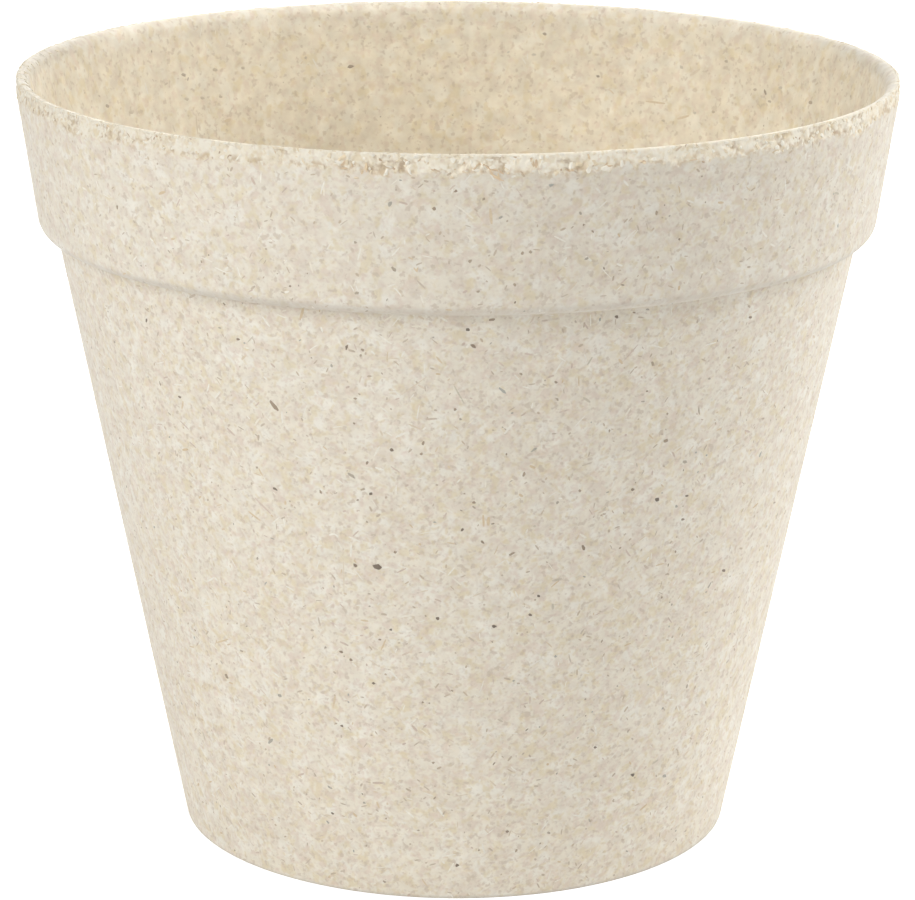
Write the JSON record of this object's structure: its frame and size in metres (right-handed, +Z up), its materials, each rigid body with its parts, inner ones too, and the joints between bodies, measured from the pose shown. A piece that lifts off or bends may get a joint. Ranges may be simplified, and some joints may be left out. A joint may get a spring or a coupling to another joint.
{
  "type": "plant pot",
  "caption": "Tapered round plant pot of pressed bamboo fibre with a deep plain collar, a trimmed rim, an open mouth and a drained floor raised on a foot ring.",
  "frame": {"origin": "centre of the standing face, on the surface that the pot stands on", "axes": "+Z up along the pot's axis of revolution; -Y faces the camera of the picture, +X is to its right"},
  "size_m": [0.125, 0.125, 0.1102],
  "materials": {
    "bamboo_fibre": "matt pressed fibre, cream with tan fibres and a few dark specks"
  },
  "bodies": {
    "root": {"pot": "bamboo_fibre"}
  },
  "joints": []
}
